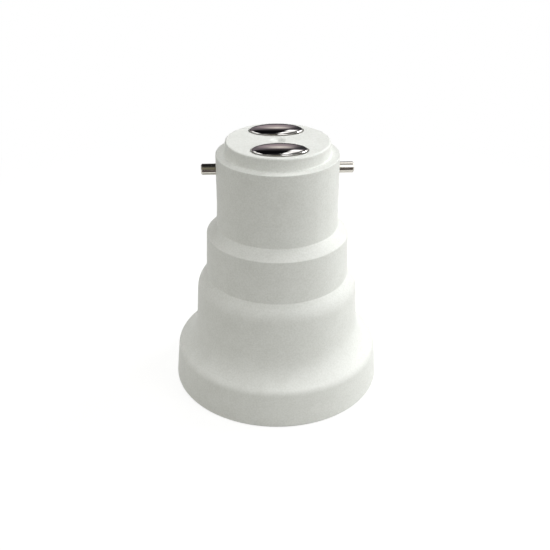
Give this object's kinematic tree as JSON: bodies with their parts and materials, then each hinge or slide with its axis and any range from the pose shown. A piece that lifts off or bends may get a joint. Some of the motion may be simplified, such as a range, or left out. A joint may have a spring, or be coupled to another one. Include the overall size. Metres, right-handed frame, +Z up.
{
  "type": "lamp socket adapter",
  "caption": "White moulded adapter that turns a bayonet lampholder into an Edison screw socket, with domed top contacts and a sprung centre contact.",
  "frame": {"origin": "centre of the mouth's rim, on the plane that the part stands on", "axes": "+Z up along the axis, out of the bayonet cap; X along the two bayonet pins; Y through the two contact buttons"},
  "size_m": [0.0396, 0.0396, 0.0486],
  "materials": {
    "housing_plastic": "fine matte white moulding",
    "nickel": "nickel plate",
    "contact_plating": "bright nickel plate",
    "tinned_brass": "tin plate",
    "insulator": "fired steatite",
    "bronze": "rolled phosphor bronze",
    "brass": "turned brass",
    "zinc_steel": "zinc plate",
    "tinned_copper": "tinned wire",
    "live_sleeving": "brown sleeving",
    "neutral_sleeving": "blue sleeving"
  },
  "bodies": {
    "adapter": {"housing": "housing_plastic", "bayonet_pin_left": "nickel", "bayonet_pin_right": "nickel", "contact_button_front": "contact_plating", "contact_button_rear": "contact_plating", "button_tag_front": "tinned_brass", "button_tag_rear": "tinned_brass", "screw_shell": "nickel", "insulator_disc": "insulator", "centre_contact_rivet": "brass", "centre_tag": "tinned_brass", "shell_rivet": "brass", "shell_tag": "tinned_brass", "fixing_screw_left": "zinc_steel", "fixing_screw_right": "zinc_steel", "live_wire": "tinned_copper", "live_sleeve": "live_sleeving", "neutral_wire": "tinned_copper", "neutral_sleeve": "neutral_sleeving"},
    "centre_contact": {"centre_contact_leaf": "bronze", "contact_pip": "brass"}
  },
  "joints": [
    {"name": "centre_contact_press", "type": "slide", "parent": "adapter", "child": "centre_contact", "axis": [0, 0, 1], "range_m": [0, 0.0015], "stiffness_N_per_m": 1500, "springref_m": -0.0006, "deforming": ["centre_contact_leaf"]}
  ]
}
